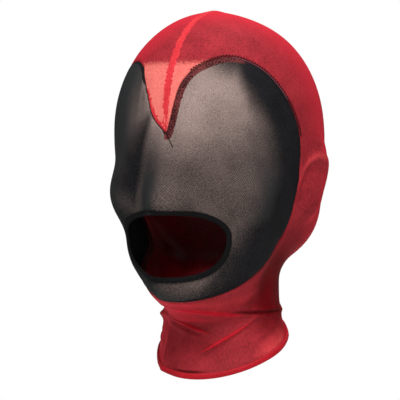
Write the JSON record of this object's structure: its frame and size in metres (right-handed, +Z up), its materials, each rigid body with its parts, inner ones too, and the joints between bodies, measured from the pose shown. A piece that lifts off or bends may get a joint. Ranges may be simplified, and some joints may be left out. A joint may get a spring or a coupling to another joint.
{
  "type": "hood mask",
  "caption": "Close-fitting stretch-net hood with a neck tube, a sheer dark face panel with a peaked top edge and a bound mouth opening.",
  "frame": {"origin": "top of the inside of the crown, where the wearer's head touches the cloth", "axes": "+Z up along the standing wearer's head and neck, the face looks along -Y, +X to the wearer's left"},
  "size_m": [0.1594, 0.209, 0.279],
  "materials": {
    "red_net": "fine sheer stretch net with a soft sheen",
    "black_net": "fine sheer stretch net, matte",
    "overlock_thread": "overlocked thread over doubled net",
    "red_fold": "doubled stretch net, denser and brighter",
    "black_elastic": "folded elastic tape with fine ribs"
  },
  "bodies": {
    "root": {"hood": "red_net", "face_panel": "black_net", "face_seam": "overlock_thread", "crown_seam": "red_fold", "mouth_binding": "black_elastic", "neck_hem": "red_fold"}
  },
  "joints": []
}
